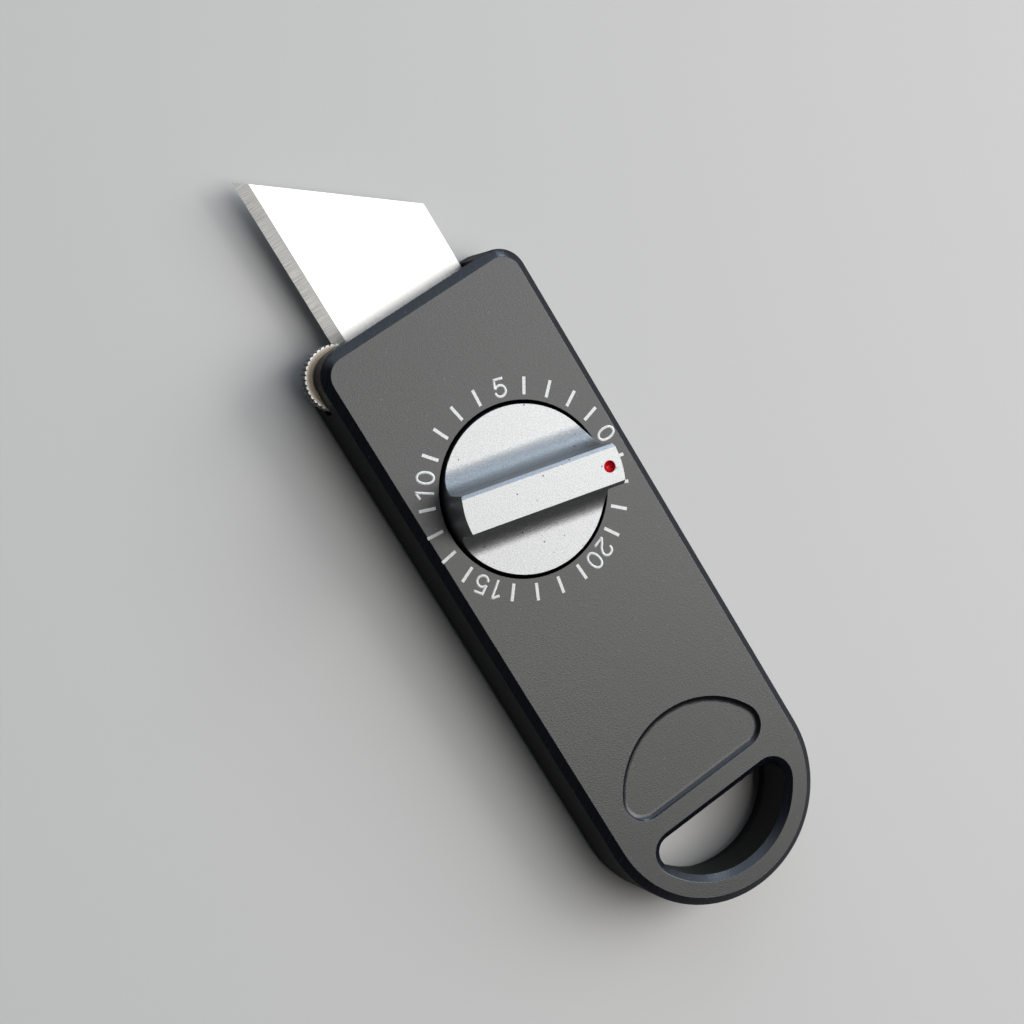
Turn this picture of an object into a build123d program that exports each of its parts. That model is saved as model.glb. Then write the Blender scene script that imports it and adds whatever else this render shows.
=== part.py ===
from build123d import *
import math
import os

# Utility knife whose dial sets how far the blade reaches out, in millimetres.
# It lies on its back cover with the dial up and the blade towards +Y.
# The origin is on the middle line of the back cover's underside, level with the dial's axis.
# Everything stands as in full reach: pointer at 24, blade out.

# Two shells
body_width = 29.5
half_width = body_width / 2
front_y = 26.43
rear_y = -45.0
front_corner = 3.5
cover_thickness = 3.87
housing_thickness = 6.43
seam_z = cover_thickness
face_z = cover_thickness + housing_thickness
edge_chamfer = 1.04
seam_break = 0.12

# Thumb pocket and lanyard slot: one circle, parted by a cross bar
moon_radius = 11.7
moon_corner = 2.9
bar_front_y = -43.7
bar_rear_y = -46.15
pocket_depth = 0.55
pocket_z = face_z - pocket_depth
pocket_round = 0.85
pocket_rim_slope = math.acos(1 - pocket_depth / pocket_round)
pocket_facets = 4
slot_chamfer = 0.85
cover_slot_inset = 0.1

# Blade: a standard 61 x 19 trapezoid
blade_length = 61.0
blade_width = 19.0
blade_thickness = 0.6
blade_tip_y = 49.1
blade_end_run = 14.1
bevel_width = 1.6
notch_width = 2.4
notch_depth = 2.6
notch_spacing = 9.8
blade_z = 3.22
blade_top_z = blade_z + blade_thickness
blade_middle_y = blade_tip_y - blade_length / 2

# Inner room of the shells
ceiling_z = 7.3
room_left_x = -6.55
room_right_x = 9.85
room_rear_y = -36.8
mouth_left_x = -8.6
mouth_depth = 8.4
mouth_ceiling_z = 8.9
channel_width = 19.7
channel_floor_z = blade_z - 0.05
channel_rear_y = -37.2
room_corner = 1.5

# Rack and pinion: one turn of 25 marks moves the blade 25.1 mm
module = 0.5
pinion_teeth = 16
pitch_radius = module * pinion_teeth / 2
pressure_angle = math.radians(20)
addendum = module
dedendum = 1.25 * module
flank_play = 0.05
tooth_pitch = math.pi * module
base_radius = pitch_radius * math.cos(pressure_angle)
pinion_bottom_z = 5.25
pinion_top_z = 7.1
pinion_screw_end_z = 10.3

# Blade carrier with its rack, pins and magnets
carrier_left_x = room_left_x + 0.15
carrier_right_x = room_right_x - 0.15
carrier_front_y = 25.4
carrier_rear_y = -11.5
carrier_top_z = 5.1
carrier_corner = 1.2
rack_back_x = 7.8
rack_top_z = 7.05
rack_tooth_count = 18
rack_length = rack_tooth_count * tooth_pitch
rack_rear_y = -2 * tooth_pitch
rack_pin_places = ((6.3, 1.5), (6.3, 21.0))
rack_pin_radius = 0.8
rack_pin_end_z = 6.6
magnet_radius = 2.0
magnet_thickness = 0.9
magnet_places = ((-2.4, 5.0), (-2.4, 20.0))
blade_pin_radius = 1.15
blade_pin_x = blade_width / 2 - notch_depth + notch_width / 2
blade_pin_places = [(blade_pin_x, blade_middle_y + side * notch_spacing / 2) for side in (-1, 1)]

# Dial: its axis stands a little off the middle line, towards the edge side
dial_x = -0.28
pitch_line_x = dial_x + pitch_radius
dial_bore_radius = 10.83
dial_recess_depth = 1.9
recess_floor_z = face_z - dial_recess_depth
scale_marks = 25
mark_angle = 360 / scale_marks
pointer_angle = 24 * mark_angle
knob_radius = 10.36
knob_bottom_z = 9.15
knob_disc_z = face_z + 0.3
knob_top_z = face_z + 7.0
grip_width = 5.1
grip_chamfer = 0.42
grip_fillet = 3.3
hub_radius = 2.98
hub_square = 3.4
hub_end_z = 6.35
dot_radius = 0.72
dot_distance = 8.7
dot_seat_z = knob_top_z - 0.6
dot_sink = 0.05
dot_dish = 0.3

# Dial bearing and click stop
bush_bore = 3.03
bush_radius = 4.0
bush_play = 0.05
click_radius = 8.3
click_ring_inner = 7.75
click_notch_depth = 1.1
click_notch_half_width = 0.55
click_ring_outer = 10.3
click_ring_thickness = 0.6
ball_radius = 0.7
ball_z = recess_floor_z + click_ring_thickness + 0.02 + ball_radius
spring_wire = 0.2
spring_radius = 0.52
spring_pitch = 0.8
spring_turns = 2
click_bore_radius = 0.78
click_bore_top_z = ball_z + ball_radius + spring_pitch * spring_turns

# Guide wheel at the front corner on the edge side
wheel_x = -11.7
wheel_y = 23.2
wheel_radius = 4.05
wheel_bottom_z = seam_z + 0.18
wheel_top_z = 6.22
wheel_pocket_radius = 4.5
wheel_pocket_z = 6.4
knurl_count = 40
knurl_depth = 0.2
knurl_half_width = 0.19
groove_bottom_z = 5.05
groove_top_z = 5.5
groove_depth = 0.4
axle_radius = 0.75
axle_bottom_z = 1.5
axle_top_z = 8.6
wheel_bush_radius = 1.5
wheel_bush_bore = 0.79
wheel_bush_play = 0.03
wheel_axis = Axis((wheel_x, wheel_y, 0), (0, 0, 1))
wheel_section = Plane(origin=(wheel_x, wheel_y, 0), x_dir=(1, 0, 0), z_dir=(0, -1, 0))

# Fasteners
fastener_x = 11.7
cover_screw_places = ((fastener_x, 21.0), (-fastener_x, 12.5), (0.0, -40.4))
cover_screw_radius = 1.0
cover_screw_head = 1.9
cover_screw_end_z = 7.5
small_screw_radius = 0.8
small_screw_head = 1.5
screw_gap = 0.02
clearance_gap = 0.1
tapping_depth = 0.3
head_sink = 0.03

# The dial's own frame: X runs from its axis to the pointer
dial = Plane(origin=(dial_x, 0, 0)).rotated((0, 0, pointer_angle))
dial_section = Plane(origin=dial.origin, x_dir=dial.y_dir, z_dir=dial.x_dir)

os.makedirs("parts", exist_ok=True)


def finish(piece, name):
    """Name a finished piece and write its file."""
    piece.label = name
    export_step(piece, f"parts/{name}.step")


def upward(places, height):
    """Locations whose holes are drilled upwards from a height."""
    return Locations(*[Location((x, y, height), (180, 0, 0)) for x, y in places])


def body_outline(height):
    """Outline of both shells: square front with round corners, half-round rear end."""
    with BuildSketch(Plane.XY.offset(height)) as outline:
        with BuildLine():
            rear = CenterArc((0, rear_y), half_width, 180, 180)
            Polyline(rear @ 1, (half_width, front_y), (-half_width, front_y), rear @ 0)
        make_face()
        fillet(outline.vertices().group_by(Axis.Y)[-1], front_corner)
    return outline.sketch


def half_moon(height, chord_y, side, inset=0):
    """One half of the rear circle beyond a chord; side is 1 towards the blade, -1 towards the end."""
    with BuildSketch(Plane.XY.offset(height)) as moon:
        with Locations((0, rear_y)):
            Circle(moon_radius - inset)
        with Locations((0, chord_y + side * inset - side * moon_radius)):
            Rectangle(2 * body_width, 2 * moon_radius, mode=Mode.SUBTRACT)
        fillet(moon.vertices(), moon_corner - inset)
    return moon.sketch


def pocket_section(place):
    """Outline of the pocket at one step of its rounded edge: 0 is its rim, pocket_facets is its floor."""
    slope = pocket_rim_slope * (1 - place / pocket_facets)
    inset = pocket_round * (math.sin(pocket_rim_slope) - math.sin(slope))
    return half_moon(pocket_z + pocket_round * (1 - math.cos(slope)), bar_front_y, 1, inset)


def screw_profile(radius, head_radius, head_z, end_z):
    """Half section of a countersunk screw driven upwards, in the XZ plane."""
    with BuildSketch(Plane.XZ) as section:
        neck_z = head_z + head_radius - radius
        Polygon((0, head_z), (head_radius, head_z), (radius, neck_z), (radius, end_z), (0, end_z), align=None)
    return section.sketch


def involute(angle):
    """Involute function of a pressure angle."""
    return math.tan(angle) - angle


def tooth_point(radius, at_radius=None):
    """Point on the upper flank of the pinion tooth that points along +X."""
    pressure = math.acos(base_radius / radius)
    half_tooth = (tooth_pitch / 2 - flank_play) / (2 * pitch_radius)
    angle = half_tooth + involute(pressure_angle) - involute(pressure)
    distance = at_radius or radius
    return (distance * math.cos(angle), distance * math.sin(angle))


def below(point):
    """The same point on the tooth's lower flank."""
    return (point[0], -point[1])


def rack_half_tooth(depth):
    """Half the width of a rack tooth, at a depth behind the pitch line."""
    return (tooth_pitch / 2 - flank_play) / 2 + depth * math.tan(pressure_angle)


# Front housing: milled aluminium shell with the dial's bore, the mouth and the inner room
with BuildPart() as front_housing:
    extrude(body_outline(seam_z), amount=housing_thickness)
    extrude(half_moon(seam_z, bar_rear_y, -1, slot_chamfer), amount=housing_thickness, mode=Mode.SUBTRACT)
    face = front_housing.faces().sort_by(Axis.Z)[-1]
    chamfer(face.inner_wires()[0].edges(), slot_chamfer)
    face = front_housing.faces().sort_by(Axis.Z)[-1]
    chamfer(face.outer_wire().edges(), edge_chamfer)
    joint_face = front_housing.faces().sort_by(Axis.Z)[0]
    chamfer(joint_face.outer_wire().edges(), seam_break)
    for place in range(pocket_facets):
        loft([pocket_section(place), pocket_section(place + 1)], ruled=True, mode=Mode.SUBTRACT)
    with BuildSketch(Plane.XY.offset(face_z)):
        with Locations((dial_x, 0)):
            Circle(dial_bore_radius)
    extrude(amount=-dial_recess_depth, mode=Mode.SUBTRACT)
    with BuildSketch(Plane.XY.offset(recess_floor_z)):
        with Locations((dial_x, 0)):
            Circle(bush_radius)
    extrude(amount=ceiling_z - recess_floor_z, mode=Mode.SUBTRACT)
    with BuildSketch(Plane.XY.offset(seam_z)) as room:
        with BuildLine():
            Polyline(
                (room_right_x, front_y),
                (room_left_x, front_y),
                (room_left_x, room_rear_y),
                (room_right_x, room_rear_y),
                close=True,
            )
        make_face()
        fillet(room.vertices().group_by(Axis.Y)[0], room_corner)
    extrude(amount=ceiling_z - seam_z, mode=Mode.SUBTRACT)
    with BuildSketch(Plane.XY.offset(seam_z)):
        with Locations((mouth_left_x, front_y)):
            Rectangle(room_right_x - mouth_left_x, mouth_depth, align=(Align.MIN, Align.MAX))
    extrude(amount=mouth_ceiling_z - seam_z, mode=Mode.SUBTRACT)
    with BuildSketch(Plane.XY.offset(seam_z)):
        with Locations((wheel_x, wheel_y)):
            Circle(wheel_pocket_radius)
    extrude(amount=wheel_pocket_z - seam_z, mode=Mode.SUBTRACT)
    with upward([(wheel_x, wheel_y)], wheel_pocket_z):
        Hole(axle_radius, depth=axle_top_z - wheel_pocket_z)
    with upward(cover_screw_places, seam_z):
        Hole(cover_screw_radius + screw_gap, depth=cover_screw_end_z + tapping_depth - seam_z)
finish(front_housing.part, "front_housing")

# Back cover: flat shell with the blade's channel, screwed on from behind; its slot is wider than the housing's
with BuildPart() as back_cover:
    extrude(body_outline(0), amount=cover_thickness)
    extrude(half_moon(0, bar_rear_y, -1, cover_slot_inset), amount=cover_thickness, mode=Mode.SUBTRACT)
    under = back_cover.faces().sort_by(Axis.Z)[0]
    chamfer(under.inner_wires()[0].edges(), slot_chamfer)
    under = back_cover.faces().sort_by(Axis.Z)[0]
    chamfer(under.outer_wire().edges(), edge_chamfer)
    joint_face = back_cover.faces().sort_by(Axis.Z)[-1]
    chamfer(joint_face.outer_wire().edges(), seam_break)
    with BuildSketch(Plane.XY.offset(seam_z)):
        with Locations((0, front_y)):
            Rectangle(channel_width, front_y - channel_rear_y, align=(Align.CENTER, Align.MAX))
    extrude(amount=channel_floor_z - seam_z, mode=Mode.SUBTRACT)
    with upward(cover_screw_places, 0):
        CounterSinkHole(cover_screw_radius + clearance_gap, cover_screw_head, counter_sink_angle=90)
    with Locations((wheel_x, wheel_y, seam_z)):
        Hole(axle_radius, depth=seam_z - axle_bottom_z)
finish(back_cover.part, "back_cover")

# Three countersunk screws that hold the cover and centre it
with BuildPart() as cover_screws:
    section = screw_profile(cover_screw_radius, cover_screw_head - head_sink, head_sink, cover_screw_end_z)
    with Locations(*cover_screw_places):
        add(revolve(section, axis=Axis.Z, mode=Mode.PRIVATE))
finish(cover_screws.part, "cover_screws")

# Bronze bush pressed into the floor of the dial's recess; its ends bear on the pinion and the knob
with BuildPart() as dial_bush:
    with BuildSketch(Plane.XY.offset(pinion_top_z + bush_play)):
        with Locations((dial_x, 0)):
            Circle(bush_radius)
            Circle(bush_bore, mode=Mode.SUBTRACT)
    extrude(amount=knob_bottom_z - pinion_top_z - 2 * bush_play)
finish(dial_bush.part, "dial_bush")

# Hardened click ring: 25 notches in its inner rim, one for each mark of the scale
with BuildPart() as click_ring:
    with BuildSketch(Plane.XY.offset(recess_floor_z)):
        with Locations((dial_x, 0)):
            Circle(click_ring_outer)
            Circle(click_ring_inner, mode=Mode.SUBTRACT)
            with PolarLocations(click_ring_inner, scale_marks):
                Polygon(
                    (click_notch_depth, 0),
                    (-0.1, click_notch_half_width),
                    (-0.1, -click_notch_half_width),
                    align=None,
                    mode=Mode.SUBTRACT,
                )
    extrude(amount=click_ring_thickness)
finish(click_ring.part, "click_ring")

# Control knob: disc with a raised grip bar, its ends on the disc's cylinder
with BuildPart(dial) as control_knob:
    with BuildSketch(dial.offset(knob_bottom_z)):
        Circle(knob_radius)
    extrude(amount=knob_top_z - knob_bottom_z)
    with BuildSketch(dial_section.offset(-knob_radius)):
        with BuildLine():
            foot = (grip_width / 2 + grip_fillet, knob_disc_z)
            rise = (grip_width / 2, knob_disc_z + grip_fillet)
            RadiusArc(foot, rise, grip_fillet)
            Polyline(
                rise,
                (grip_width / 2, knob_top_z - grip_chamfer),
                (grip_width / 2 - grip_chamfer, knob_top_z),
                (knob_radius + 1, knob_top_z),
                (knob_radius + 1, knob_disc_z),
                foot,
            )
        make_face()
        mirror(about=Plane.YZ)
    extrude(amount=2 * knob_radius, mode=Mode.SUBTRACT)
    with BuildSketch(dial.offset(knob_bottom_z)):
        Circle(hub_radius)
    extrude(amount=pinion_top_z - knob_bottom_z)
    with BuildSketch(dial.offset(pinion_top_z)):
        Rectangle(hub_square, hub_square)
    extrude(amount=hub_end_z - pinion_top_z)
    with Locations((dot_distance, 0, knob_top_z)):
        Hole(dot_radius, depth=knob_top_z - dot_seat_z)
    with upward([(-click_radius, 0)], knob_bottom_z):
        Hole(click_bore_radius, depth=click_bore_top_z - knob_bottom_z)
    with upward([(0, 0)], hub_end_z):
        Hole(small_screw_radius + screw_gap, depth=pinion_screw_end_z + tapping_depth - hub_end_z)
finish(control_knob.part, "control_knob")

# Red pointer dot: enamel in the end of the grip bar, dished as it dried
with BuildPart() as pointer_dot:
    dot_place = dial.from_local_coords((dot_distance, 0, 0))
    with BuildSketch(Plane(origin=dot_place, x_dir=dial.x_dir, z_dir=-dial.y_dir)):
        rim_z = knob_top_z - dot_sink
        Polygon(
            (0, dot_seat_z),
            (dot_radius, dot_seat_z),
            (dot_radius, rim_z),
            (0, rim_z - dot_dish),
            align=None,
        )
    revolve(axis=Axis(dot_place, (0, 0, 1)))
finish(pointer_dot.part, "pointer_dot")

# Pinion on the square end of the knob's hub
with BuildSketch(Plane.XY.offset(pinion_bottom_z)) as pinion_tooth:
    with BuildLine():
        flank = [tooth_point(radius) for radius in (base_radius, pitch_radius, pitch_radius + addendum)]
        heel = tooth_point(base_radius, pitch_radius - dedendum - 0.2)
        Line(heel, flank[0])
        ThreePointArc(*flank)
        Line(flank[2], below(flank[2]))
        ThreePointArc(*[below(point) for point in flank])
        Polyline(below(flank[0]), below(heel), heel)
    make_face()

with BuildPart() as pinion:
    with BuildSketch(Plane.XY.offset(pinion_bottom_z)):
        with Locations((dial_x, 0)):
            Circle(pitch_radius - dedendum)
            with PolarLocations(0, pinion_teeth):
                add(pinion_tooth.sketch_local)
    extrude(amount=pinion_top_z - pinion_bottom_z)
    with BuildSketch(dial.offset(hub_end_z)):
        Rectangle(hub_square, hub_square)
    extrude(amount=pinion_top_z - hub_end_z, mode=Mode.SUBTRACT)
    with upward([(dial_x, 0)], pinion_bottom_z):
        CounterSinkHole(small_screw_radius + screw_gap, small_screw_head, counter_sink_angle=90)
finish(pinion.part, "pinion")

# Screw that draws the pinion up onto the knob's hub
with BuildPart() as pinion_screw:
    head_z = pinion_bottom_z + head_sink
    section = screw_profile(small_screw_radius, small_screw_head - head_sink, head_z, pinion_screw_end_z)
    with Locations((dial_x, 0)):
        add(revolve(section, axis=Axis.Z, mode=Mode.PRIVATE))
finish(pinion_screw.part, "pinion_screw")

# Click ball under the grip's tail
with BuildPart(dial) as click_ball:
    with Locations((-click_radius, 0, ball_z)):
        Sphere(ball_radius)
finish(click_ball.part, "click_ball")

# Coil spring that presses the ball into the click ring
with BuildPart() as click_spring:
    with BuildLine() as coil:
        Helix(
            spring_pitch,
            spring_pitch * spring_turns - spring_wire,
            spring_radius,
            center=dial.from_local_coords((-click_radius, 0, ball_z + ball_radius + spring_wire / 2)),
        )
    with BuildSketch(Plane(origin=coil.line @ 0, z_dir=coil.line % 0)):
        Rectangle(spring_wire, spring_wire)
    sweep(is_frenet=True)
finish(click_spring.part, "click_spring")

# Blade: ground on both faces along its edge, two notches in the spine
with BuildPart() as blade:
    with BuildSketch(Plane.XZ.offset(-blade_tip_y)):
        edge_x = -blade_width / 2
        Polygon(
            (edge_x, blade_z + blade_thickness / 2),
            (edge_x + bevel_width, blade_z),
            (-edge_x, blade_z),
            (-edge_x, blade_top_z),
            (edge_x + bevel_width, blade_top_z),
            align=None,
        )
    extrude(amount=blade_length)
    with BuildSketch(Plane.XY.offset(blade_z)):
        Polygon(
            (edge_x, blade_tip_y),
            (edge_x, blade_tip_y - blade_length),
            (-edge_x, blade_tip_y - blade_length + blade_end_run),
            (-edge_x, blade_tip_y - blade_end_run),
            align=None,
        )
    extrude(amount=blade_thickness, mode=Mode.INTERSECT)
    with BuildSketch(Plane.XY.offset(blade_z)):
        with Locations((-edge_x, blade_middle_y)):
            with GridLocations(0, notch_spacing, 1, 2):
                SlotOverall(2 * notch_depth, notch_width)
    extrude(amount=blade_thickness, mode=Mode.SUBTRACT)
finish(blade.part, "blade")

# Blade carrier: the sliding plate that lies on the blade
with BuildPart() as blade_carrier:
    with BuildSketch(Plane.XY.offset(blade_top_z)) as plate:
        with Locations((carrier_left_x, carrier_rear_y)):
            Rectangle(
                carrier_right_x - carrier_left_x,
                carrier_front_y - carrier_rear_y,
                align=(Align.MIN, Align.MIN),
            )
        fillet(plate.vertices(), carrier_corner)
        with Locations(*blade_pin_places):
            Circle(blade_pin_radius, mode=Mode.SUBTRACT)
    extrude(amount=carrier_top_z - blade_top_z)
    with upward(magnet_places, blade_top_z):
        Hole(magnet_radius, depth=magnet_thickness)
    with upward(rack_pin_places, blade_top_z):
        Hole(rack_pin_radius)
finish(blade_carrier.part, "blade_carrier")

# Rack on the carrier, its teeth towards the dial's axis
with BuildPart() as rack:
    with BuildSketch(Plane.XY.offset(carrier_top_z)):
        with Locations((pitch_line_x + dedendum, rack_rear_y)):
            Rectangle(rack_back_x - pitch_line_x - dedendum, rack_length, align=(Align.MIN, Align.MIN))
        with Locations((pitch_line_x, rack_rear_y + rack_length / 2)):
            with GridLocations(0, tooth_pitch, 1, rack_tooth_count):
                Polygon(
                    (-addendum, rack_half_tooth(-addendum)),
                    (-addendum, -rack_half_tooth(-addendum)),
                    (dedendum, -rack_half_tooth(dedendum)),
                    (dedendum, rack_half_tooth(dedendum)),
                    align=None,
                )
    extrude(amount=rack_top_z - carrier_top_z)
    with upward(rack_pin_places, carrier_top_z):
        Hole(rack_pin_radius, depth=rack_pin_end_z - carrier_top_z)
finish(rack.part, "rack")

# Two pins pressed through the carrier that hold the rack
with BuildPart() as rack_pins:
    with BuildSketch(Plane.XY.offset(blade_top_z + head_sink)):
        with Locations(*rack_pin_places):
            Circle(rack_pin_radius)
    extrude(amount=rack_pin_end_z - blade_top_z - head_sink)
finish(rack_pins.part, "rack_pins")

# Two pins in the carrier that sit in the blade's notches
with BuildPart() as blade_pins:
    with BuildSketch(Plane.XY.offset(blade_z)):
        with Locations(*blade_pin_places):
            Circle(blade_pin_radius)
    extrude(amount=carrier_top_z - blade_z)
finish(blade_pins.part, "blade_pins")

# Two magnets in the carrier that hold the blade up against it
with BuildPart() as blade_magnets:
    with BuildSketch(Plane.XY.offset(blade_top_z)):
        with Locations(*magnet_places):
            Circle(magnet_radius)
    extrude(amount=magnet_thickness)
finish(blade_magnets.part, "blade_magnets")

# Guide wheel: two knurled bands parted by a groove
with BuildPart() as guide_wheel:
    with BuildSketch(wheel_section):
        Polygon(
            (wheel_bush_radius, wheel_bottom_z),
            (wheel_radius, wheel_bottom_z),
            (wheel_radius, groove_bottom_z),
            (wheel_radius - groove_depth, groove_bottom_z),
            (wheel_radius - groove_depth, groove_top_z),
            (wheel_radius, groove_top_z),
            (wheel_radius, wheel_top_z),
            (wheel_bush_radius, wheel_top_z),
            align=None,
        )
    revolve(axis=wheel_axis)
    with BuildSketch(Plane.XY.offset(wheel_bottom_z)):
        with Locations((wheel_x, wheel_y)):
            with PolarLocations(wheel_radius, knurl_count):
                Polygon((-knurl_depth, 0), (0.05, -knurl_half_width), (0.05, knurl_half_width), align=None)
    extrude(amount=wheel_top_z - wheel_bottom_z, mode=Mode.SUBTRACT)
finish(guide_wheel.part, "guide_wheel")

# Bronze bush pressed into the wheel; its ends keep the wheel clear of both shells
with BuildPart() as wheel_bush:
    with BuildSketch(Plane.XY.offset(seam_z + wheel_bush_play)):
        with Locations((wheel_x, wheel_y)):
            Circle(wheel_bush_radius)
            Circle(wheel_bush_bore, mode=Mode.SUBTRACT)
    extrude(amount=wheel_pocket_z - seam_z - 2 * wheel_bush_play)
finish(wheel_bush.part, "wheel_bush")

# Axle pin, held in both shells
with BuildPart() as wheel_axle:
    with BuildSketch(Plane.XY.offset(axle_bottom_z)):
        with Locations((wheel_x, wheel_y)):
            Circle(axle_radius)
    extrude(amount=axle_top_z - axle_bottom_z)
finish(wheel_axle.part, "wheel_axle")
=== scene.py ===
import math

import bpy
from mathutils import Matrix, Vector


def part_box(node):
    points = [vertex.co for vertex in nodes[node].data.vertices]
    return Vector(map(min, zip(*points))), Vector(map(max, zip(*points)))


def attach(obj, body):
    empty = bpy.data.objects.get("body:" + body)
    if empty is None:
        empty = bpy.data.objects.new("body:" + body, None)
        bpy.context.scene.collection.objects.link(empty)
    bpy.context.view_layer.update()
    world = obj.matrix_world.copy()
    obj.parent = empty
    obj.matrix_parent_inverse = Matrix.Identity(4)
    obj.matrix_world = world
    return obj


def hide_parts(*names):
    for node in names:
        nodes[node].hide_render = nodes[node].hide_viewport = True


# The knife as it is packed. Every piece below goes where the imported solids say, in metres.
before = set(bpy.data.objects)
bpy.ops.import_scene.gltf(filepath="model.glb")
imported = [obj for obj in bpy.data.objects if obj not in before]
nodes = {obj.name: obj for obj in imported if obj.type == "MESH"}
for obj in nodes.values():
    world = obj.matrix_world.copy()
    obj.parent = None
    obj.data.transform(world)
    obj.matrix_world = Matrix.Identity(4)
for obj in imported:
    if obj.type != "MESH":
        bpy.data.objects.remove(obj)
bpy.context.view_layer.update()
MM = 0.001


# Back cover: a milled aluminium shell, bead blasted, chamfered with a cutter and then anodised black.
# Blasting leaves fine dimples on the flats, and the cutter leaves slanting lines along the chamfers.
def new_material(name):
    """An empty material, its surface shader and its node tree."""
    material = bpy.data.materials.new(name)
    material.use_nodes = True
    return material, material.node_tree.nodes["Principled BSDF"], material.node_tree


def new_group(name, inlets, outlets):
    """An empty node group with number sockets, its inlets and its outlets."""
    group = bpy.data.node_groups.new(name, "ShaderNodeTree")
    for socket in inlets:
        group.interface.new_socket(socket, in_out="INPUT", socket_type="NodeSocketFloat")
    for socket in outlets:
        group.interface.new_socket(socket, in_out="OUTPUT", socket_type="NodeSocketFloat")
    return group, group.nodes.new("NodeGroupInput").outputs, group.nodes.new("NodeGroupOutput").inputs


def place_group(tree, group, **values):
    """Place a node group in a material with its own values; returns what it puts out."""
    node = tree.nodes.new("ShaderNodeGroup")
    node.node_tree = group
    for socket, value in values.items():
        node.inputs[socket.replace("_", " ")].default_value = value
    return node.outputs


def feed(tree, shader, **sources):
    """Link sources to a shader's sockets."""
    for socket, source in sources.items():
        tree.links.new(source, shader.inputs[socket.replace("_", " ")])


def coordinate(tree, kind="Object"):
    """Where each point of the piece is, or which way it faces."""
    return tree.nodes.new("ShaderNodeTexCoord").outputs[kind]


def part_of(tree, vector, axis):
    """One number of a vector."""
    node = tree.nodes.new("ShaderNodeSeparateXYZ")
    tree.links.new(vector, node.inputs["Vector"])
    return node.outputs[axis]


def vector_of(tree, *numbers):
    """A vector from three numbers, each a source or fixed."""
    node = tree.nodes.new("ShaderNodeCombineXYZ")
    for inlet, number in zip(node.inputs, numbers):
        if isinstance(number, (int, float)):
            inlet.default_value = number
        else:
            tree.links.new(number, inlet)
    return node.outputs["Vector"]


def vector_math(tree, operation, first, second=None):
    """Work out a vector or a number from one or two vectors; the second may be fixed."""
    node = tree.nodes.new("ShaderNodeVectorMath")
    node.operation = operation
    tree.links.new(first, node.inputs[0])
    if isinstance(second, tuple):
        node.inputs[1].default_value = second
    elif second is not None:
        tree.links.new(second, node.inputs[1])
    return node.outputs["Vector" if operation in ("SUBTRACT", "MULTIPLY") else "Value"]


def number_math(tree, operation, *numbers):
    """Work out one number from one or two others."""
    node = tree.nodes.new("ShaderNodeMath")
    node.operation = operation
    for inlet, number in zip(node.inputs, numbers):
        tree.links.new(number, inlet)
    return node.outputs["Value"]


def texture(tree, kind, vector, **values):
    """A texture node on a coordinate, with its own values."""
    node = tree.nodes.new(f"ShaderNodeTex{kind}")
    tree.links.new(vector, node.inputs["Vector"])
    for socket, value in values.items():
        node.inputs[socket].default_value = value
    return node


def span(tree, value, low, high, to_low=0.0, to_high=1.0, ease="LINEAR"):
    """Carry one span of values over to another."""
    node = tree.nodes.new("ShaderNodeMapRange")
    node.interpolation_type = ease
    for socket, end in (("From Min", low), ("From Max", high), ("To Min", to_low), ("To Max", to_high)):
        node.inputs[socket].default_value = end
    tree.links.new(value, node.inputs["Value"])
    return node.outputs["Result"]


def ramp(tree, value, low, high, low_at=0.0, high_at=1.0):
    """Run from one colour to another as a value rises."""
    node = tree.nodes.new("ShaderNodeValToRGB")
    for element, colour, place in zip(node.color_ramp.elements, (low, high), (low_at, high_at)):
        element.position = place
        element.color = (*colour, 1.0)
    tree.links.new(value, node.inputs["Fac"])
    return node.outputs["Color"]


def blend(tree, mask, first, second, kind="RGBA"):
    """Go from one colour or value to another by a mask; the second may be a fixed colour."""
    node = tree.nodes.new("ShaderNodeMix")
    node.data_type = kind
    tree.links.new(mask, node.inputs["Factor"])
    tree.links.new(first, node.inputs["A"])
    if isinstance(second, tuple):
        node.inputs["B"].default_value = (*second, 1.0)
    else:
        tree.links.new(second, node.inputs["B"])
    return node.outputs["Result"]


def uneven(tree, noise, middle, spread):
    """Let a value run below and above its middle with a noise."""
    below, above = spread
    return span(tree, noise, *NOISE_SPAN, middle - below, middle + above)


def add_relief(tree, shader, height, strength, depth):
    """Let a height stand out of the surface."""
    bump = tree.nodes.new("ShaderNodeBump")
    bump.inputs["Strength"].default_value = strength
    bump.inputs["Distance"].default_value = depth
    tree.links.new(height, bump.inputs["Height"])
    tree.links.new(bump.outputs["Normal"], shader.inputs["Normal"])


def blasted_dimples():
    """Speckle and height of a bead-blasted surface, with rare larger pits."""
    group, inlet, outlet = new_group("blasted_dimples", ["Dimples per metre"], ["Speckle", "Height", "Pits"])
    place = coordinate(group)
    speckle = texture(group, "Noise", place, Detail=3.0, Roughness=0.65)
    cells = texture(group, "Voronoi", place)
    pits = texture(group, "Voronoi", place, Scale=PITS_PER_METRE)
    for pattern in (speckle, cells):
        group.links.new(inlet["Dimples per metre"], pattern.inputs["Scale"])
    group.links.new(speckle.outputs["Fac"], outlet["Speckle"])
    group.links.new(cells.outputs["Distance"], outlet["Height"])
    group.links.new(span(group, pits.outputs["Distance"], *PIT_EDGE), outlet["Pits"])
    return group


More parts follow.
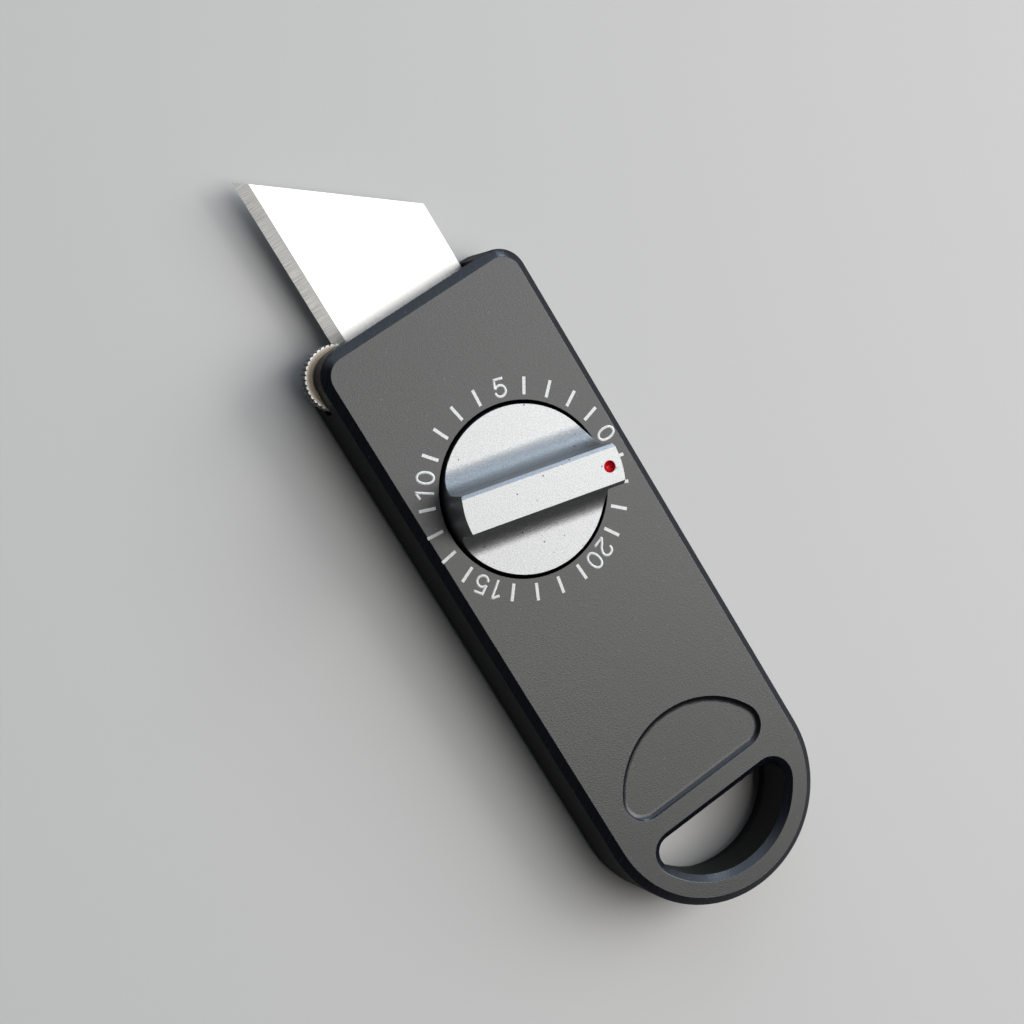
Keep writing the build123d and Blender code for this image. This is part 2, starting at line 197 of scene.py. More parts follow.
def cutter_lines():
    """Slanting lines of a chamfer cutter, and a mask of the 45 degree faces that it cut."""
    group, inlet, outlet = new_group("cutter_lines", ["Lines per metre", "Lowest cut"], ["Lines", "Chamfer"])
    place = coordinate(group)
    slant = group.nodes.new("ShaderNodeMapping")
    slant.inputs["Rotation"].default_value = (0.0, 0.0, CUTTER_SLANT)
    group.links.new(place, slant.inputs["Vector"])
    stretch = vector_of(group, inlet["Lines per metre"], ALONG_A_LINE, ALONG_A_LINE)
    drawn_out = vector_math(group, "MULTIPLY", slant.outputs["Vector"], stretch)
    lines = texture(group, "Noise", drawn_out, Scale=1.0, Detail=3.0, Roughness=0.7)
    group.links.new(lines.outputs["Fac"], outlet["Lines"])
    upright = number_math(group, "ABSOLUTE", part_of(group, coordinate(group, "Normal"), "Z"))
    below_flat = span(group, upright, *FLAT_TO_SLOPE)
    above_wall = span(group, upright, *WALL_TO_SLOPE)
    sloping = number_math(group, "MULTIPLY", below_flat, above_wall)
    reached = number_math(group, "GREATER_THAN", part_of(group, place, "Z"), inlet["Lowest cut"])
    group.links.new(number_math(group, "MULTIPLY", sloping, reached), outlet["Chamfer"])
    return group


def blasted_finish(name, dark, light, cut_colour, pit_colour, flat_gloss, cut_gloss, relief, lowest_cut):
    """Blasted and anodised metal with cut chamfers and a few pits; returns the material and its shader."""
    material, shader, tree = new_material(name)
    dimples = place_group(tree, dimple_group, Dimples_per_metre=DIMPLES_PER_METRE)
    cut = place_group(tree, cutter_group, Lines_per_metre=CUTTER_LINES_PER_METRE, Lowest_cut=lowest_cut)
    speckle = ramp(tree, dimples["Speckle"], dark, light, *SPECKLE_SPAN)
    skin = blend(tree, cut["Chamfer"], speckle, cut_colour)
    flat_rough = uneven(tree, dimples["Speckle"], flat_gloss, FLAT_SPREAD)
    cut_rough = uneven(tree, cut["Lines"], cut_gloss, CUT_SPREAD)
    feed(
        tree, shader,
        Base_Color=blend(tree, dimples["Pits"], skin, pit_colour),
        Roughness=blend(tree, cut["Chamfer"], flat_rough, cut_rough, "FLOAT"),
    )
    height = blend(tree, cut["Chamfer"], dimples["Height"], cut["Lines"], "FLOAT")
    add_relief(tree, shader, height, relief, DIMPLE_DEPTH)
    return material, shader


def break_edges(node, width):
    """Take the sharpness off a piece's edges, as blasting and anodising do."""
    weld = node.modifiers.new("weld", "WELD")
    weld.merge_threshold = SAME_POINT
    flat = node.modifiers.new("flat", "DECIMATE")
    flat.decimate_type = "DISSOLVE"
    flat.angle_limit = FLAT_WITHIN
    edge = node.modifiers.new("edge", "BEVEL")
    edge.width = width
    edge.segments = 2
    edge.limit_method = "ANGLE"
    edge.angle_limit = EDGE_FROM
    edge.use_clamp_overlap = False
    edge.miter_outer = "MITER_ARC"
    even = node.modifiers.new("even", "WEIGHTED_NORMAL")
    even.weight = 100


# Most of a noise lies in this span, and the speckle's light and dark are taken from a like one.
NOISE_SPAN, SPECKLE_SPAN = (0.3, 0.7), (0.32, 0.70)
DIMPLES_PER_METRE, DIMPLE_DEPTH = 7000.0, 0.03 * MM
# A pit ends between these distances from its middle, in pits.
PITS_PER_METRE, PIT_EDGE = 650.0, (0.085, 0.06)
CUTTER_LINES_PER_METRE, ALONG_A_LINE, CUTTER_SLANT = 3400.0, 90.0, math.radians(40)
FLAT_SPREAD, CUT_SPREAD = (0.07, 0.07), (0.08, 0.10)
# How upright a face's normal is where a flat, or a wall, gives way to a chamfer.
FLAT_TO_SLOPE, WALL_TO_SLOPE = (0.92, 0.86), (0.40, 0.50)
# Points this near are one; faces within the first angle are flat, and past the second meet at an edge.
SAME_POINT, FLAT_WITHIN, EDGE_FROM = 1e-6, 0.02, 0.5
# The lowest cut lies under the knife, so every chamfer of the shells has the cutter's lines.
SHELL_LOOK = {
    "dark": (0.003, 0.003, 0.003), "light": (0.010, 0.010, 0.010),
    "cut_colour": (0.004, 0.005, 0.010), "pit_colour": (0.05, 0.05, 0.05),
    "flat_gloss": 0.38, "cut_gloss": 0.28, "relief": 0.45, "lowest_cut": -1.0,
}
SHELL_SHEEN, SHELL_EDGE = 0.9, 0.06 * MM
dimple_group = blasted_dimples()
cutter_group = cutter_lines()
cover_black, shader = blasted_finish("cover_black", **SHELL_LOOK)
shader.inputs["Specular IOR Level"].default_value = SHELL_SHEEN
nodes["back_cover"].data.materials[0] = cover_black
break_edges(nodes["back_cover"], SHELL_EDGE)


# Front housing: the thicker shell over it, from the same bar and with the same finish.
# It carries the dial, the thumb pocket and the lanyard slot, and three screws hold it to the cover.
# The recess under the knob is painted black as shade, so its floor swallows the light.
def around_axis():
    """Distance from an upright axis, and the fine rings that a turning tool leaves round it."""
    group, inlet, outlet = new_group("around_axis", ["Axis X", "Axis Y"], ["Distance", "Rings"])
    axis = vector_of(group, inlet["Axis X"], inlet["Axis Y"], 0.0)
    offset = vector_math(group, "SUBTRACT", coordinate(group), axis)
    level_offset = vector_math(group, "MULTIPLY", offset, (1, 1, 0))
    group.links.new(vector_math(group, "LENGTH", level_offset), outlet["Distance"])
    rings = texture(group, "Wave", offset, Scale=RINGS_SCALE, Distortion=1.5, Detail=2.0)
    rings.wave_type = "RINGS"
    rings.rings_direction = "Z"
    group.links.new(rings.outputs["Fac"], outlet["Rings"])
    return group


RINGS_SCALE = 450.0
FACE_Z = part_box("front_housing")[1].z
DIAL_CENTRE = (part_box("dial_bush")[0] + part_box("dial_bush")[1]) / 2
RECESS_RADIUS = 10.83 * MM
# The painted shade covers the recess out to its wall, and begins between these heights under the face.
RECESS_SHADE_SIDE = (RECESS_RADIUS + 0.05 * MM, RECESS_RADIUS + 0.02 * MM)
RECESS_SHADE_TOP = (FACE_Z - 0.3 * MM, FACE_Z - 0.7 * MM)
RECESS_SHADE_BLACK = (0.001, 0.001, 0.001)
axis_group = around_axis()
housing_black, shader = blasted_finish("housing_black", **SHELL_LOOK)
tree = housing_black.node_tree
round_dial = place_group(tree, axis_group, Axis_X=DIAL_CENTRE.x, Axis_Y=DIAL_CENTRE.y)
# Painted shade: the recess round the knob turns black and fully metallic, so the gap reads dark.
within = span(tree, round_dial["Distance"], *RECESS_SHADE_SIDE)
deep = span(tree, part_of(tree, coordinate(tree), "Z"), *RECESS_SHADE_TOP)
recess_shade = number_math(tree, "MULTIPLY", within, deep)
bare_skin = shader.inputs["Base Color"].links[0].from_socket
feed(tree, shader, Base_Color=blend(tree, recess_shade, bare_skin, RECESS_SHADE_BLACK), Metallic=recess_shade)
shader.inputs["Specular IOR Level"].default_value = SHELL_SHEEN
nodes["front_housing"].data.materials[0] = housing_black
break_edges(nodes["front_housing"], SHELL_EDGE)

# Printed scale: white ink on the housing's face, 25 places round the dial.
# Each fifth place has a number and the others have a short line; the ink stands hardly proud.
PLACES, NUMBER_EACH = 25, 5
MARK = math.radians(360 / PLACES)
INK, INK_EDGE = 0.012 * MM, 0.004 * MM
TICK_LENGTH, TICK_WIDTH, TICK_RADIUS = 2.15 * MM, 0.40 * MM, 12.54 * MM
FIGURE_HEIGHT, FIGURE_STEP, FIGURE_RADIUS = 2.45 * MM, 2.0 * MM, 12.62 * MM
STROKE_WIDTH, STROKE_STEPS, STROKE_WELD = 0.32 * MM, 8, 1e-8
# Each later stroke of a figure lies this share lower, and the "10" is printed off its mark.
STROKE_DROP = 0.12
ASIDE_OF_MARK = {10: -0.32 * MM}
# Each figure's strokes, in heights of the figure about its middle.
FIGURES = {
    "0": [[(0, 0.435), (0.275, 0), (0, -0.435), (-0.275, 0), (0, 0.435)]],
    "1": [[(0.07, 0.5), (0.07, -0.5)], [(-0.26, 0.20), (0.05, 0.45)]],
    "2": [
        [
            (-0.265, 0.16), (-0.19, 0.36), (0, 0.435), (0.2, 0.36),
            (0.265, 0.17), (0.16, -0.05), (-0.09, -0.25), (-0.27, -0.42),
        ],
        [(-0.33, -0.435), (0.30, -0.435)],
    ],
    "5": [
        [(-0.245, 0.435), (0.27, 0.435)],
        [(-0.195, 0.5), (-0.255, -0.04)],
        [
            (-0.25, -0.02), (-0.08, 0.105), (0.14, 0.085), (0.285, -0.15),
            (0.17, -0.375), (-0.02, -0.435), (-0.19, -0.37), (-0.28, -0.2),
        ],
    ],
}
INK_THIN, INK_FULL, INK_SPAN = (0.66, 0.66, 0.65), (0.93, 0.93, 0.91), (0.28, 0.50)
INK_SPECKS_PER_METRE, INK_RELIEF, INK_DIMPLE, INK_ROUGHNESS = 4200.0, 0.2, 0.02 * MM, 0.6


def bare_selection():
    """Leave object mode's selection empty."""
    for item in bpy.context.selected_objects:
        item.select_set(False)


def join_pieces(pieces):
    """One piece from several."""
    bare_selection()
    for piece in pieces:
        piece.select_set(True)
    bpy.context.view_layer.objects.active = pieces[0]
    bpy.ops.object.join()
    return bpy.context.object


def copy_piece(piece, place):
    """A copy with its own mesh, carried to another place."""
    twin = piece.copy()
    twin.data = piece.data.copy()
    twin.data.transform(place)
    bpy.context.collection.objects.link(twin)
    return twin


def dress(piece, name, material, body):
    """Name a finished piece, give it its finish and let it ride on its body."""
    piece.name = name
    piece.data.name = name
    piece.data.materials.clear()
    piece.data.materials.append(material)
    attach(piece, body)


def white_ink():
    """Screen-printed white ink, a little uneven over the blasted metal."""
    material, shader, tree = new_material("white_ink")
    dimples = place_group(tree, dimple_group, Dimples_per_metre=INK_SPECKS_PER_METRE)
    feed(tree, shader, Base_Color=ramp(tree, dimples["Speckle"], INK_THIN, INK_FULL, *INK_SPAN))
    add_relief(tree, shader, dimples["Height"], INK_RELIEF, INK_DIMPLE)
    shader.inputs["Roughness"].default_value = INK_ROUGHNESS
    return material


def ink_stroke(points, thickness):
    """One stroke of a figure: a flat ribbon of ink along a smooth line."""
    nib = bpy.data.curves.new("nib", "CURVE")
    corner = nib.splines.new("POLY")
    corner.points.add(3)
    for point, (x, y) in zip(corner.points, ((-1, -1), (1, -1), (1, 1), (-1, 1))):
        point.co = (x * STROKE_WIDTH / 2, y * thickness, 0, 1)
    corner.use_cyclic_u = True
    nib_object = bpy.data.objects.new("nib", nib)
    bpy.context.collection.objects.link(nib_object)
    bare_selection()
    bpy.ops.curve.primitive_bezier_curve_add()
    pen = bpy.context.object
    line = pen.data.splines[0]
    closed = points[0] == points[-1]
    knots = points[:-1] if closed else points
    line.bezier_points.add(len(knots) - 2)
    for knot, (x, y) in zip(line.bezier_points, knots):
        knot.co = (x * FIGURE_HEIGHT, y * FIGURE_HEIGHT, 0)
        knot.handle_left_type = "AUTO"
        knot.handle_right_type = "AUTO"
    line.use_cyclic_u = closed
    line.resolution_u = STROKE_STEPS
    pen.data.twist_mode = "Z_UP"
    pen.data.bevel_mode = "OBJECT"
    pen.data.bevel_object = nib_object
    pen.data.use_fill_caps = True
    bpy.ops.object.convert(target="MESH")
    bpy.data.objects.remove(nib_object)
    ribbon = bpy.context.object
    bpy.ops.object.mode_set(mode="EDIT")
    bpy.ops.mesh.select_all(action="SELECT")
    bpy.ops.mesh.remove_doubles(threshold=STROKE_WELD)
    bpy.ops.mesh.normals_make_consistent(inside=False)
    bpy.ops.object.mode_set(mode="OBJECT")
    return ribbon


ink = white_ink()
bare_selection()
bpy.ops.mesh.primitive_cube_add(
    size=1, scale=(TICK_LENGTH, TICK_WIDTH, 2 * INK), location=(TICK_RADIUS, 0, FACE_Z)
)
bpy.ops.object.transform_apply(location=True, rotation=True, scale=True)
bpy.ops.object.mode_set(mode="EDIT")
bpy.ops.mesh.bevel(offset=INK_EDGE, segments=1, affect="EDGES")
bpy.ops.object.mode_set(mode="OBJECT")
first_tick = bpy.context.object
to_dial = Matrix.Translation((DIAL_CENTRE.x, DIAL_CENTRE.y, 0))
ticks = [
    copy_piece(first_tick, to_dial @ Matrix.Rotation(place * MARK, 4, "Z"))
    for place in range(PLACES) if place % NUMBER_EACH
]
bpy.data.objects.remove(first_tick)
dress(join_pieces(ticks), "scale_lines", ink, "handle")

for number in range(0, PLACES, NUMBER_EACH):
    strokes = []
    word = str(number)
    for place, figure in enumerate(word):
        aside = (place - (len(word) - 1) / 2) * FIGURE_STEP + ASIDE_OF_MARK.get(number, 0.0)
        for layer, points in enumerate(FIGURES[figure]):
            ribbon = ink_stroke(points, INK * (1 - STROKE_DROP * layer))
            turn = Matrix.Rotation(number * MARK - math.pi / 2, 4, "Z")
            ribbon.data.transform(turn @ Matrix.Translation((aside, FIGURE_RADIUS, 0)))
            ribbon.data.transform(to_dial @ Matrix.Translation((0, 0, FACE_Z)))
            strokes.append(ribbon)
    printed = join_pieces(strokes)
    printed.matrix_world = Matrix.Identity(4)
    dress(printed, f"scale_number_{number}", ink, "handle")


# Bush and click ring: a turned bronze bush pressed into the housing, and a hardened steel ring
# under the knob. Both are hidden; turning leaves fine rings round the dial's axis.
def turned_metal(name, dark, light, roughness, centre):
    """Machined metal with fine tool marks round an upright axis."""
    material, shader, tree = new_material(name)
    rings = place_group(tree, axis_group, Axis_X=centre.x, Axis_Y=centre.y)["Rings"]
    gloss = span(tree, rings, 0.0, 1.0, roughness - RING_SPREAD[0], roughness + RING_SPREAD[1])
    feed(tree, shader, Base_Color=ramp(tree, rings, dark, light), Roughness=gloss)
    shader.inputs["Metallic"].default_value = 1.0
    return material


RING_SPREAD = (0.06, 0.08)
BRONZE_LOOK = {"dark": (0.52, 0.35, 0.16), "light": (0.68, 0.48, 0.24), "roughness": 0.34}
STEEL_LOOK = {"dark": (0.44, 0.44, 0.45), "light": (0.62, 0.62, 0.63), "roughness": 0.32}
steel = turned_metal("turned_steel", **STEEL_LOOK, centre=DIAL_CENTRE)
nodes["dial_bush"].data.materials[0] = turned_metal("turned_bronze", **BRONZE_LOOK, centre=DIAL_CENTRE)
nodes["click_ring"].data.materials[0] = steel

# Control knob: turned and milled aluminium, bead blasted and clear anodised, with bright cut chamfers
# on its grip. Its hub runs down through the bush, and a few pits show in the blasted skin.
CUT_REACH, KNOB_EDGE = 0.45 * MM, 0.05 * MM
knob_silver, shader = blasted_finish(
    "knob_silver", dark=(0.30, 0.303, 0.307), light=(0.55, 0.555, 0.56),
    cut_colour=(0.50, 0.505, 0.52), pit_colour=(0.10, 0.10, 0.11),
    flat_gloss=0.43, cut_gloss=0.34, relief=0.30, lowest_cut=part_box("control_knob")[1].z - CUT_REACH,
)
shader.inputs["Metallic"].default_value = 1.0
nodes["control_knob"].data.materials[0] = knob_silver
break_edges(nodes["control_knob"], KNOB_EDGE)


# Pointer dot: red enamel run into a drilled seat at the end of the grip.
# It has dried to a glossy dish, higher at its rim.
def red_enamel():
    """Glossy red enamel, deeper where it lies thick."""
    material, shader, tree = new_material("red_enamel")
    cloud = texture(tree, "Noise", coordinate(tree), Scale=ENAMEL_CLOUDS).outputs["Fac"]
    feed(
        tree, shader,
        Base_Color=ramp(tree, cloud, ENAMEL_DEEP, ENAMEL_RED, *NOISE_SPAN),
        Roughness=span(tree, cloud, *NOISE_SPAN, *ENAMEL_ROUGHNESS),
    )
    shader.inputs["Specular IOR Level"].default_value = ENAMEL_SHEEN
    return material


def choose_level_faces(piece, way):
    """In edit mode, select only the faces that look straight up (1) or straight down (-1)."""
    bpy.ops.mesh.select_mode(type="FACE")
    bpy.ops.mesh.select_all(action="DESELECT")
    bpy.ops.object.mode_set(mode="OBJECT")
    for face in piece.data.polygons:
        face.select = way * face.normal.z > LEVEL
    bpy.ops.object.mode_set(mode="EDIT")


ENAMEL_DEEP, ENAMEL_RED = (0.42, 0.002, 0.006), (0.64, 0.004, 0.012)
ENAMEL_CLOUDS, ENAMEL_ROUGHNESS, ENAMEL_SHEEN = 2600.0, (0.07, 0.13), 0.2
dot_low, dot_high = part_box("pointer_dot")
DOT_MIDDLE = (dot_low + dot_high) / 2
DOT_RADIUS = (dot_high.x - dot_low.x) / 2
BOWL_RIM, BOWL_SLOPE, BOWL_STEPS = 0.96 * DOT_RADIUS, math.radians(70), 8
ROUND_SIDES, LEVEL = 48, 0.9
DOT_SMOOTH = math.radians(50)
bowl_radius = BOWL_RIM / math.sin(BOWL_SLOPE)
bare_selection()
bpy.ops.mesh.primitive_cylinder_add(
    vertices=ROUND_SIDES, radius=DOT_RADIUS, depth=dot_high.z - dot_low.z, location=DOT_MIDDLE
)
dot = bpy.context.object
bpy.ops.object.transform_apply(location=True, rotation=True, scale=True)
bpy.ops.object.mode_set(mode="EDIT")
choose_level_faces(dot, 1)
bpy.ops.mesh.inset(thickness=DOT_RADIUS - BOWL_RIM, depth=0)
for step in range(BOWL_STEPS):
    outer, inner = (BOWL_SLOPE * (1 - k / (BOWL_STEPS + 1)) for k in (step, step + 1))
    bpy.ops.mesh.inset(
        thickness=bowl_radius * (math.sin(outer) - math.sin(inner)),
        depth=bowl_radius * (math.cos(outer) - math.cos(inner)),
    )
bpy.ops.mesh.poke(offset=bowl_radius * (math.cos(inner) - 1))
bpy.ops.object.mode_set(mode="OBJECT")
bpy.ops.object.shade_smooth_by_angle(angle=DOT_SMOOTH)
dress(dot, "enamel_dot", red_enamel(), "dial")
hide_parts("pointer_dot")

# Gear train and click stop under the knob: a steel pinion with its screw, a ball and its spring.
# The pinion is hobbed from bar; the ball and spring sit in a blind bore of the knob.
for name in ("pinion", "pinion_screw", "click_ball", "click_spring"):
    nodes[name].data.materials[0] = steel


# Blade carrier with its rack, pins and magnets: a milled aluminium plate that slides in the housing.
# The steel rack is pinned on top, and milling leaves straight marks along the slide.
def straight_marks():
    """Marks drawn out by a tool; the inputs say how closely they lie along X, Y and Z."""
    inlets = ["Along X", "Along Y", "Along Z", "Detail", "Roughness"]
    group, inlet, outlet = new_group("straight_marks", inlets, ["Marks"])
    stretch = vector_of(group, inlet["Along X"], inlet["Along Y"], inlet["Along Z"])
    marks = texture(group, "Noise", vector_math(group, "MULTIPLY", coordinate(group), stretch), Scale=1.0)
    for socket in ("Detail", "Roughness"):
        group.links.new(inlet[socket], marks.inputs[socket])
    group.links.new(marks.outputs["Fac"], outlet["Marks"])
    return group


def draw_marks(tree, stretch, detail, roughness=0.5):
    """Place the straight marks in a material, at their scale along X, Y and Z."""
    x, y, z = stretch
    return place_group(
        tree, marks_group, Along_X=x, Along_Y=y, Along_Z=z, Detail=detail, Roughness=roughness
    )["Marks"]


def milled_metal(name, dark, light, roughness, stretch):
    """Machined metal with straight marks."""
    material, shader, tree = new_material(name)
    marks = draw_marks(tree, stretch, detail=4.0)
    feed(
        tree, shader,
        Base_Color=ramp(tree, marks, dark, light, *NOISE_SPAN),
        Roughness=uneven(tree, marks, roughness, MARK_SPREAD),
    )
    shader.inputs["Metallic"].default_value = 1.0
    return material


MARK_SPREAD = (0.07, 0.09)
marks_group = straight_marks()
nodes["blade_carrier"].data.materials[0] = milled_metal(
    "carrier_aluminium", (0.50, 0.51, 0.53), (0.66, 0.67, 0.68), 0.36, (9000, 260, 9000)
)
rack_steel = milled_metal("rack_steel", (0.42, 0.42, 0.43), (0.58, 0.58, 0.59), 0.33, (300, 9000, 9000))
for name in ("rack", "rack_pins", "blade_pins"):
    nodes[name].data.materials[0] = rack_steel
nodes["blade_magnets"].data.materials[0] = milled_metal(
    "nickel_plate", (0.60, 0.59, 0.57), (0.70, 0.69, 0.66), 0.22, (2400, 2400, 2400)
)


# Blade: a standard trapezoid of hard carbon steel, rolled bright and ground on both faces along one edge.
# The grinding wheel leaves fine lines across the bevel.
def blade_steel():
    """Bright rolled faces; the ground bevel is darker and lined across."""
    material, shader, tree = new_material("blade_steel")
    edge_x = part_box("blade")[0].x
    bevel_start, bevel_end = (edge_x + reach for reach in BEVEL_REACH)
    ground = span(tree, part_of(tree, coordinate(tree), "X"), bevel_start, bevel_end)
    lines = draw_marks(tree, GRINDING_LINES, detail=5.0, roughness=0.7)
    rolled = draw_marks(tree, ROLLING_LINES, detail=3.0)
    bright = ramp(tree, rolled, ROLLED_DARK, ROLLED_LIGHT, *NOISE_SPAN)
    lined = ramp(tree, lines, GROUND_DARK, GROUND_LIGHT, *GROUND_SPAN)
    feed(
        tree, shader,
        Base_Color=blend(tree, ground, bright, lined),
        Roughness=span(tree, rolled, *NOISE_SPAN, *BLADE_ROUGHNESS),
    )
    shader.inputs["Metallic"].default_value = 1.0
    return material


# How far the ground bevel reaches from the edge, with the short run in which it begins.
BEVEL_REACH = (1.62 * MM, 1.58 * MM)
GRINDING_LINES, ROLLING_LINES = (250, 11000, 250), (9000, 250, 9000)
ROLLED_DARK, ROLLED_LIGHT = (0.88, 0.87, 0.84), (0.97, 0.96, 0.93)
GROUND_DARK, GROUND_LIGHT, GROUND_SPAN = (0.36, 0.355, 0.345), (0.86, 0.85, 0.82), (0.34, 0.68)
BLADE_ROUGHNESS = (0.37, 0.43)
nodes["blade"].data.materials[0] = blade_steel()


# Guide wheel: a hardened steel roller with two knurled bands and a groove, on a bronze bush and a ground pin.
# Its faces carry a warm tone that paints a warm reflection, a bright ring round their rim is a painted
# highlight, and the knurl hollows are painted dark as shade between bright steel tips.
def knurled_steel():
    """Faces in a painted warm reflection with a painted highlight ring at the rim; on the rim, painted shade
    in the hollows and bright tips, by their distance from the axle.
    """
    material, shader, tree = new_material("knurled_steel")
    round_axle = place_group(tree, axis_group, Axis_X=WHEEL_CENTRE.x, Axis_Y=WHEEL_CENTRE.y)
    hollow, highlight_ring = (
        span(tree, round_axle["Distance"], WHEEL_RADIUS - start, WHEEL_RADIUS - end)
        for start, end in (HOLLOW_TO_TIP, REFLECTION_TO_HIGHLIGHT)
    )
    # Painted shade: the knurl hollows go near black, and the tips stay bright steel.
    rim = ramp(tree, hollow, HOLLOW_SHADE, TIP_BRIGHT)
    # Painted reflection and highlight: a warm tone on the faces, and a bright ring along their rim.
    warm_reflection = ramp(tree, round_axle["Rings"], WARM_REFLECTION_DARK, WARM_REFLECTION_LIGHT)
    face = blend(tree, highlight_ring, warm_reflection, EDGE_HIGHLIGHT)
    flat = span(tree, part_of(tree, coordinate(tree, "Normal"), "Z"), *RIM_TO_FACE)
    feed(
        tree, shader,
        Base_Color=blend(tree, flat, rim, face),
        Roughness=span(tree, round_axle["Rings"], 0.0, 1.0, *WHEEL_ROUGHNESS),
    )
    shader.inputs["Metallic"].default_value = 1.0
    return material


WHEEL_CENTRE = (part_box("wheel_axle")[0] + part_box("wheel_axle")[1]) / 2
WHEEL_RADIUS = (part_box("guide_wheel")[1].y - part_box("guide_wheel")[0].y) / 2
WHEEL_EDGE, WHEEL_ROUGHNESS = 0.04 * MM, (0.30, 0.42)
# Depths under the rim where a hollow turns into a tip, and where the warm reflection gives way to the painted
# highlight.
HOLLOW_TO_TIP, REFLECTION_TO_HIGHLIGHT = (0.24 * MM, 0.06 * MM), (0.28 * MM, 0.18 * MM)
# How upright a face's normal is where the rim gives way to the flat face.
RIM_TO_FACE = (0.6, 0.8)
HOLLOW_SHADE, TIP_BRIGHT = (0.015, 0.014, 0.013), (0.84, 0.82, 0.78)
WARM_REFLECTION_DARK, WARM_REFLECTION_LIGHT, EDGE_HIGHLIGHT = (0.27, 0.225, 0.18), (0.44, 0.385, 0.32), (0.64, 0.62, 0.59)
nodes["guide_wheel"].data.materials[0] = knurled_steel()
break_edges(nodes["guide_wheel"], WHEEL_EDGE)
nodes["wheel_bush"].data.materials[0] = turned_metal("wheel_bronze", **BRONZE_LOOK, centre=WHEEL_CENTRE)
nodes["wheel_axle"].data.materials[0] = turned_metal(
    "axle_steel", (0.52, 0.52, 0.52), (0.70, 0.70, 0.69), 0.28, WHEEL_CENTRE
)

# Cover screws: three countersunk socket screws of black oxide steel, driven from behind.
# Their heads lie just under the back cover's face and their ends hold in the housing.
SCREW_PLACES = ((11.7 * MM, 21.0 * MM), (-11.7 * MM, 12.5 * MM), (0.0, -40.4 * MM))
screw_low, screw_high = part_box("cover_screws")
SHANK_RADIUS, HEAD_RADIUS, SOCKET_RADIUS = 1.0 * MM, 1.87 * MM, 0.75 * MM
HEAD_DEPTH, SOCKET_DEPTH = HEAD_RADIUS - SHANK_RADIUS, 0.95 * MM
HEAD_EDGE, SHANK_CHAMFER, SCREW_SMOOTH = 0.08 * MM, 0.2 * MM, math.radians(30)
shank_length = screw_high.z - screw_low.z - HEAD_DEPTH
bare_selection()
bpy.ops.mesh.primitive_cylinder_add(
    vertices=ROUND_SIDES, radius=SHANK_RADIUS, depth=shank_length,
    location=(0, 0, screw_high.z - shank_length / 2),
)
screw = bpy.context.object
bpy.ops.object.transform_apply(location=True, rotation=True, scale=True)
bpy.ops.object.mode_set(mode="EDIT")
choose_level_faces(screw, -1)
bpy.ops.mesh.extrude_region_move(TRANSFORM_OT_translate={"value": (0, 0, -HEAD_DEPTH)})
head_spread = HEAD_RADIUS / SHANK_RADIUS
bpy.ops.transform.resize(value=(head_spread, head_spread, 1), center_override=(0, 0, screw_low.z))
bpy.ops.mesh.bevel(offset=HEAD_EDGE, segments=2, affect="EDGES")
choose_level_faces(screw, 1)
bpy.ops.mesh.bevel(offset=SHANK_CHAMFER, segments=1, affect="EDGES")
bpy.ops.object.mode_set(mode="OBJECT")
bare_selection()
bpy.ops.mesh.primitive_cylinder_add(
    vertices=6, radius=SOCKET_RADIUS, depth=2 * SOCKET_DEPTH, location=(0, 0, screw_low.z)
)
socket_key = bpy.context.object
bare_selection()
screw.select_set(True)
bpy.context.view_layer.objects.active = screw
hexagon = screw.modifiers.new("hexagon", "BOOLEAN")
hexagon.operation = "DIFFERENCE"
hexagon.object = socket_key
bpy.ops.object.modifier_apply(modifier="hexagon")
bpy.data.objects.remove(socket_key)
bpy.ops.object.shade_smooth_by_angle(angle=SCREW_SMOOTH)
screws = [copy_piece(screw, Matrix.Translation((x, y, 0))) for x, y in SCREW_PLACES]
bpy.data.objects.remove(screw)
screw_set = join_pieces(screws)
black_oxide = milled_metal(
    "black_oxide", (0.016, 0.016, 0.017), (0.060, 0.060, 0.062), 0.38, (3200, 3200, 3200)
)
dress(screw_set, "socket_screws", black_oxide, "handle")
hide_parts("cover_screws")

# Floor: a plain pale sheet under the knife, which fades into a backdrop of its own tone far away.
# The camera sees it pale; the knife mirrors it dim, so that the black shells stay dark.
FLOOR_SIZE, FLOOR_DROP, FLOOR_ROUGHNESS = 4.0, 0.02 * MM, 0.8
FLOOR_MIRRORED, FLOOR_SEEN = (0.16, 0.16, 0.16), (0.68, 0.665, 0.645)
FADE_FROM, FADE_TO = 0.25, 1.1
BACKDROP_COLOUR, BACKDROP_GLOW = (0.80, 0.80, 0.79, 1.0), 0.65
bare_selection()
bpy.ops.mesh.primitive_plane_add(size=FLOOR_SIZE, location=(0, 0, -FLOOR_DROP))
floor = bpy.context.object
floor.name = "floor"
floor_pale, shader, tree = new_material("floor_pale")
seen = tree.nodes.new("ShaderNodeLightPath").outputs["Is Camera Ray"]
feed(tree, shader, Base_Color=ramp(tree, seen, FLOOR_MIRRORED, FLOOR_SEEN))
shader.inputs["Roughness"].default_value = FLOOR_ROUGHNESS
away = vector_math(tree, "LENGTH", coordinate(tree))
far = number_math(tree, "MULTIPLY", span(tree, away, FADE_FROM, FADE_TO, ease="SMOOTHSTEP"), seen)
haze = tree.nodes.new("ShaderNodeEmission")
haze.inputs["Color"].default_value = BACKDROP_COLOUR
haze.inputs["Strength"].default_value = BACKDROP_GLOW
cove = tree.nodes.new("ShaderNodeMixShader")
surfaces = (far, shader.outputs["BSDF"], haze.outputs["Emission"])
for inlet, source in zip(cove.inputs, surfaces):
    tree.links.new(source, inlet)
tree.links.new(cove.outputs["Shader"], tree.nodes["Material Output"].inputs["Surface"])
floor.data.materials.append(floor_pale)


